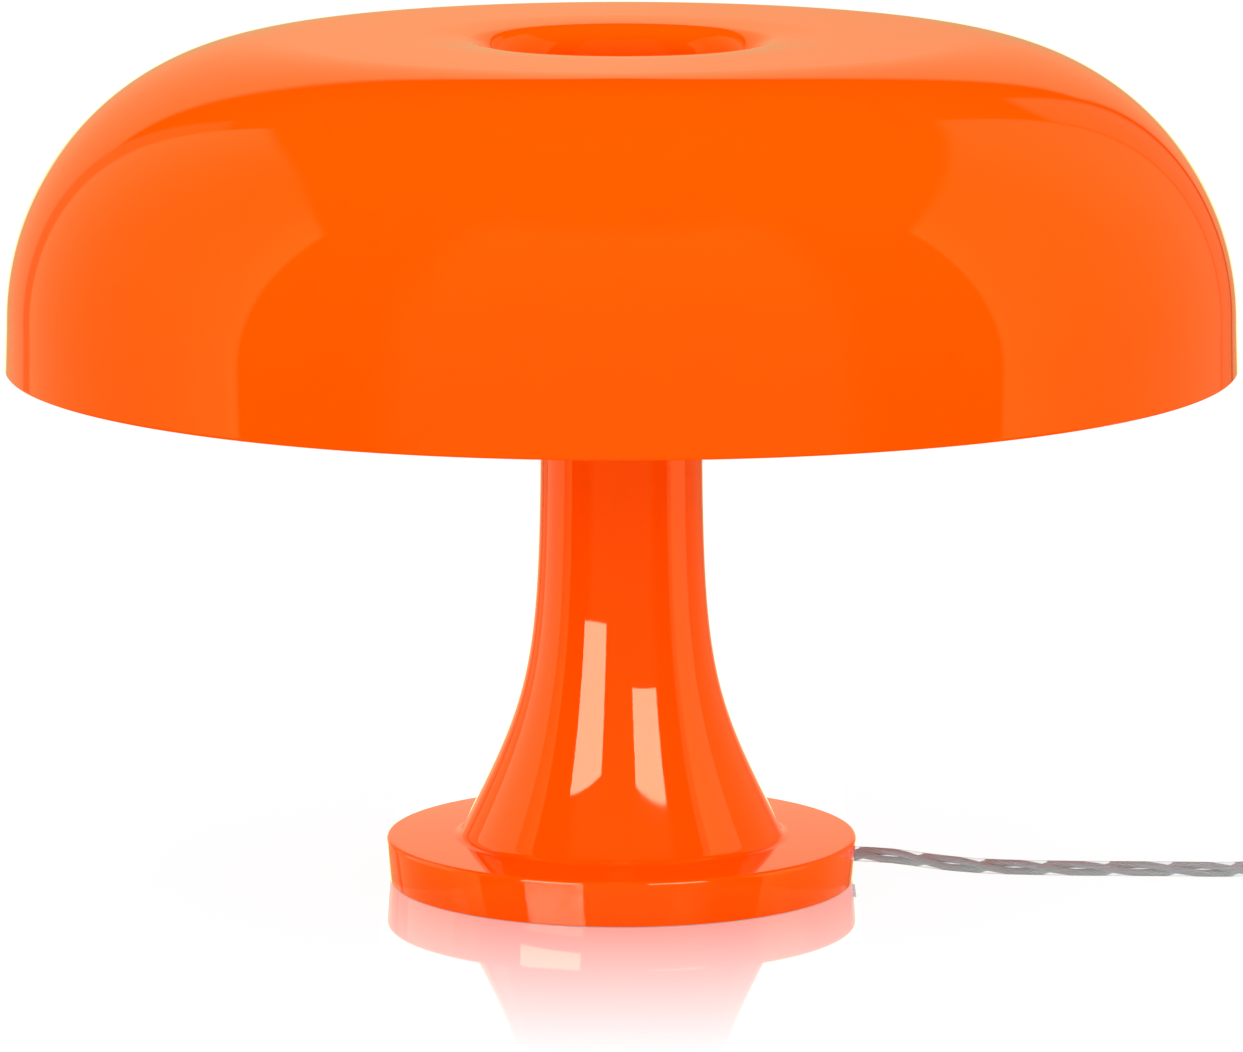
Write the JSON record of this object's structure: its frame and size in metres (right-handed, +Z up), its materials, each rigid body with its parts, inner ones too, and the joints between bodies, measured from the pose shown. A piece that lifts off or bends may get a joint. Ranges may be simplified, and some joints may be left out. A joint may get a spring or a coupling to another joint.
{
  "type": "table lamp",
  "caption": "Mushroom table lamp: a glossy domed shade with a well in its top on a flared stem and round foot, with bulbs, cord, hand switch and plug.",
  "frame": {"origin": "on the table, under the axis of the stem and shade", "axes": "+Z up along the lamp's axis, -Y towards the viewer, +X to the side where the cord leaves"},
  "size_m": [0.4966, 0.32, 0.222],
  "materials": {
    "orange_gloss": "glossy moulded plastic",
    "white_plastic": "semi gloss",
    "black_plastic": "matt",
    "steel": "zinc plated",
    "nickel": "nickel plated",
    "brass": "plain",
    "rubber": "matt",
    "opal_glass": "opal",
    "clear_cord": "clear sheath over tinned strands"
  },
  "bodies": {
    "base": {"base_moulding": "orange_gloss", "ballast_plate": "steel", "base_cover": "black_plastic", "cover_screws": "steel", "pads": "rubber", "cord_grommet": "black_plastic", "cord_clamp": "black_plastic", "clamp_screws": "steel", "terminal_block": "white_plastic", "terminal_barrels": "brass", "conduit": "steel", "lamp_carrier": "steel", "carrier_nut": "steel", "shade_spacer": "steel", "shade_gasket": "rubber", "cord_cores": "white_plastic", "wire_harness": "white_plastic", "lamp_wires": "white_plastic", "holder_sleeves": "brass", "holder_contacts": "brass", "holder_screws": "steel", "switch_base": "white_plastic", "switch_top": "white_plastic", "switch_screws": "steel", "cord_lead": "clear_cord", "cord_middle": "clear_cord", "cord_coil": "clear_cord", "cord_tail": "clear_cord", "coil_tie": "black_plastic", "plug_body": "white_plastic", "plug_sleeves": "black_plastic", "plug_pins": "nickel", "lampholder_1": "white_plastic", "lampholder_2": "white_plastic", "lampholder_3": "white_plastic", "lampholder_4": "white_plastic"},
    "shade": {"shade": "orange_gloss", "shade_well": "orange_gloss"},
    "cap": {"shade_cap": "orange_gloss"},
    "rocker": {"rocker": "white_plastic"},
    "bulb_1": {"bulb_1_cap": "nickel", "bulb_1_housing": "white_plastic", "bulb_1_globe": "opal_glass"},
    "bulb_2": {"bulb_2_cap": "nickel", "bulb_2_housing": "white_plastic", "bulb_2_globe": "opal_glass"},
    "bulb_3": {"bulb_3_cap": "nickel", "bulb_3_housing": "white_plastic", "bulb_3_globe": "opal_glass"},
    "bulb_4": {"bulb_4_cap": "nickel", "bulb_4_housing": "white_plastic", "bulb_4_globe": "opal_glass"}
  },
  "joints": [
    {"name": "shade_lift", "type": "slide", "parent": "base", "child": "shade", "axis": [0, 0, 1], "range_m": [0, 0.08]},
    {"name": "cap_unscrew", "type": "slide", "parent": "shade", "child": "cap", "axis": [0, 0, 1], "range_m": [0, 0.02]},
    {"name": "rocker_press", "type": "hinge", "parent": "base", "child": "rocker", "pos_m": [0.229, 0, 0.0126], "axis": [0, 1, 0], "range_deg": [-14, 0]},
    {"name": "bulb_1_unscrew", "type": "slide", "parent": "base", "child": "bulb_1", "axis": [1, 0, 0], "range_m": [0, 0.022]},
    {"name": "bulb_2_unscrew", "type": "slide", "parent": "base", "child": "bulb_2", "axis": [0, 1, 0], "range_m": [0, 0.022]},
    {"name": "bulb_3_unscrew", "type": "slide", "parent": "base", "child": "bulb_3", "axis": [-1, 0, 0], "range_m": [0, 0.022]},
    {"name": "bulb_4_unscrew", "type": "slide", "parent": "base", "child": "bulb_4", "axis": [0, -1, 0], "range_m": [0, 0.022]}
  ]
}
